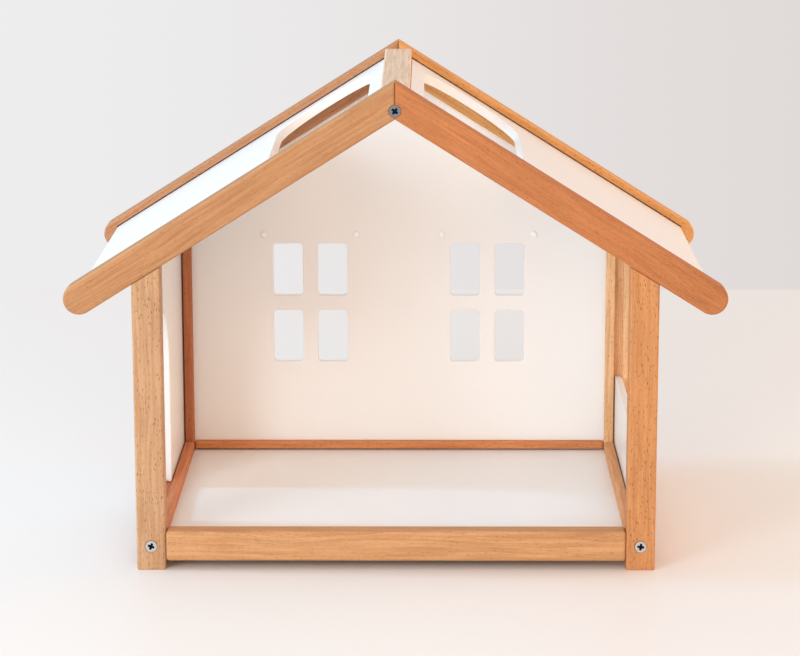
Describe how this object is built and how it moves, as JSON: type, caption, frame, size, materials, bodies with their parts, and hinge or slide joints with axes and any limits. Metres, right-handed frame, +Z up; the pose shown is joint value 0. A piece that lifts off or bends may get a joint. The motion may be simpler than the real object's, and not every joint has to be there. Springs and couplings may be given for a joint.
{
  "type": "wooden dollhouse",
  "caption": "Open-front wooden dollhouse with beech gable frames, white panel walls, floor and pitched roof, paned windows, an arched doorway and rounded skylights.",
  "frame": {"origin": "middle of the house's footprint, on the surface it stands on", "axes": "+X along the width, to the right of someone facing the open front; +Y towards the back wall; +Z up"},
  "size_m": [0.567, 0.331, 0.426],
  "materials": {
    "beech": "oiled beech with eased edges",
    "white_panel": "satin white lacquer on thin board",
    "zinc": "bright zinc-plated steel",
    "peg_white": "smooth white",
    "dowel_wood": "raw beech dowel"
  },
  "bodies": {
    "root": {"back_wall": "white_panel", "curtain_peg_inner_left": "peg_white", "curtain_peg_inner_right": "peg_white", "curtain_peg_outer_left": "peg_white", "curtain_peg_outer_right": "peg_white", "dowel_mitre_front": "dowel_wood", "dowel_mitre_rear": "dowel_wood", "dowels_rafter_left": "dowel_wood", "dowels_rafter_right": "dowel_wood", "dowels_rail_front": "dowel_wood", "dowels_rail_left": "dowel_wood", "dowels_rail_rear": "dowel_wood", "dowels_rail_right": "dowel_wood", "floor_panel": "white_panel", "left_wall": "white_panel", "post_front_left": "beech", "post_front_right": "beech", "post_rear_left": "beech", "post_rear_right": "beech", "rafter_front_left": "beech", "rafter_front_right": "beech", "rafter_rear_left": "beech", "rafter_rear_right": "beech", "rail_front": "beech", "rail_left": "beech", "rail_rear": "beech", "rail_right": "beech", "ridge_beam": "beech", "right_wall": "white_panel", "roof_panel_left": "white_panel", "roof_panel_right": "white_panel", "screw_front_left": "zinc", "screw_front_ridge": "zinc", "screw_front_right": "zinc", "screw_rear_left": "zinc", "screw_rear_ridge": "zinc", "screw_rear_right": "zinc"}
  },
  "joints": []
}
